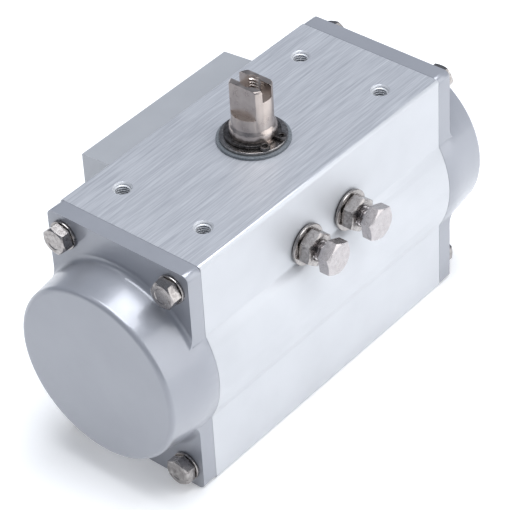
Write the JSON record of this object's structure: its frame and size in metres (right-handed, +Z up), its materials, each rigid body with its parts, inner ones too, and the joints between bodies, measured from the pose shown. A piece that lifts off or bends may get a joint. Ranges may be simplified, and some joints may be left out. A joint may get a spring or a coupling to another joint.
{
  "type": "rotary pneumatic actuator",
  "caption": "Quarter-turn pneumatic actuator: spring-return pistons in an extruded housing drive a pinion shaft through racks, with two adjustable end stops.",
  "frame": {"origin": "centre of the valve mounting face on the underside, on the shaft's axis", "axes": "+Z up along the shaft, +X along the cylinder, -Y towards the two stop screws, +Y towards the port block"},
  "size_m": [0.1454, 0.0768, 0.099],
  "materials": {
    "anodised_housing": "matte silver anodised sides, milled and brushed top face",
    "painted_cap": "smooth satin grey coating on die-cast aluminium",
    "rubber_seal": "matte black rubber",
    "stainless_screw": "bright stainless steel, slightly worn",
    "steel_washer": "bright rolled steel",
    "nickel_shaft": "turned steel with a warm chemical nickel plating",
    "spring_steel_clip": "dark phosphated spring steel",
    "grey_plastic": "matte dark grey plastic",
    "bearing_plastic": "ivory acetal",
    "cast_piston": "die-cast aluminium with machined faces",
    "coated_spring": "spring steel with a thin protective coating"
  },
  "bodies": {
    "housing": {"housing": "anodised_housing", "end_cap_left": "painted_cap", "end_cap_right": "painted_cap", "cap_gasket_left": "rubber_seal", "cap_gasket_right": "rubber_seal", "cap_screws_left": "stainless_screw", "cap_screws_right": "stainless_screw", "cap_washers_left": "steel_washer", "cap_washers_right": "steel_washer", "outer_thrust_ring": "grey_plastic", "stop_lock_nuts": "stainless_screw", "stop_washers": "steel_washer", "stop_seals": "rubber_seal", "outer_spring_left": "coated_spring", "outer_spring_right": "coated_spring", "inner_spring_left": "coated_spring", "inner_spring_right": "coated_spring"},
    "drive_shaft": {"pinion_shaft": "nickel_shaft", "upper_bearing_ring": "bearing_plastic", "lower_bearing_ring": "bearing_plastic", "upper_shaft_seal": "rubber_seal", "lower_shaft_seal": "rubber_seal", "inner_thrust_washer": "bearing_plastic", "shaft_washer": "steel_washer", "shaft_circlip": "spring_steel_clip"},
    "piston_left": {"piston_left": "cast_piston", "piston_seal_left": "rubber_seal", "piston_guide_left": "bearing_plastic", "rack_pad_left": "bearing_plastic"},
    "piston_right": {"piston_right": "cast_piston", "piston_seal_right": "rubber_seal", "piston_guide_right": "bearing_plastic", "rack_pad_right": "bearing_plastic"},
    "stop_screw_closed": {"stop_screw_closed": "stainless_screw"},
    "stop_screw_open": {"stop_screw_open": "stainless_screw"}
  },
  "joints": [
    {"name": "piston_left_slide", "type": "slide", "parent": "housing", "child": "piston_left", "axis": [-1, 0, 0], "range_m": [0, 0.01414], "stiffness_N_per_m": 300, "springref_m": -0.01, "deforming": ["outer_spring_left", "inner_spring_left"]},
    {"name": "piston_right_slide", "type": "slide", "parent": "housing", "child": "piston_right", "axis": [1, 0, 0], "range_m": [0, 0.01414], "deforming": ["outer_spring_right", "inner_spring_right"]},
    {"name": "shaft_turn", "type": "hinge", "parent": "housing", "child": "drive_shaft", "pos_m": [0, 0, 0], "axis": [0, 0, 1], "range_deg": [0, 90]},
    {"name": "stop_screw_closed_slide", "type": "slide", "parent": "housing", "child": "stop_screw_closed", "axis": [0, -1, 0], "range_m": [0, 0.0025]},
    {"name": "stop_screw_open_slide", "type": "slide", "parent": "housing", "child": "stop_screw_open", "axis": [0, -1, 0], "range_m": [0, 0.0025]}
  ],
  "couplings": [
    {"joint": "piston_right_slide", "follows": "piston_left_slide", "ratio": 1},
    {"joint": "shaft_turn", "follows": "piston_left_slide", "rad_per_m": 111.11}
  ]
}
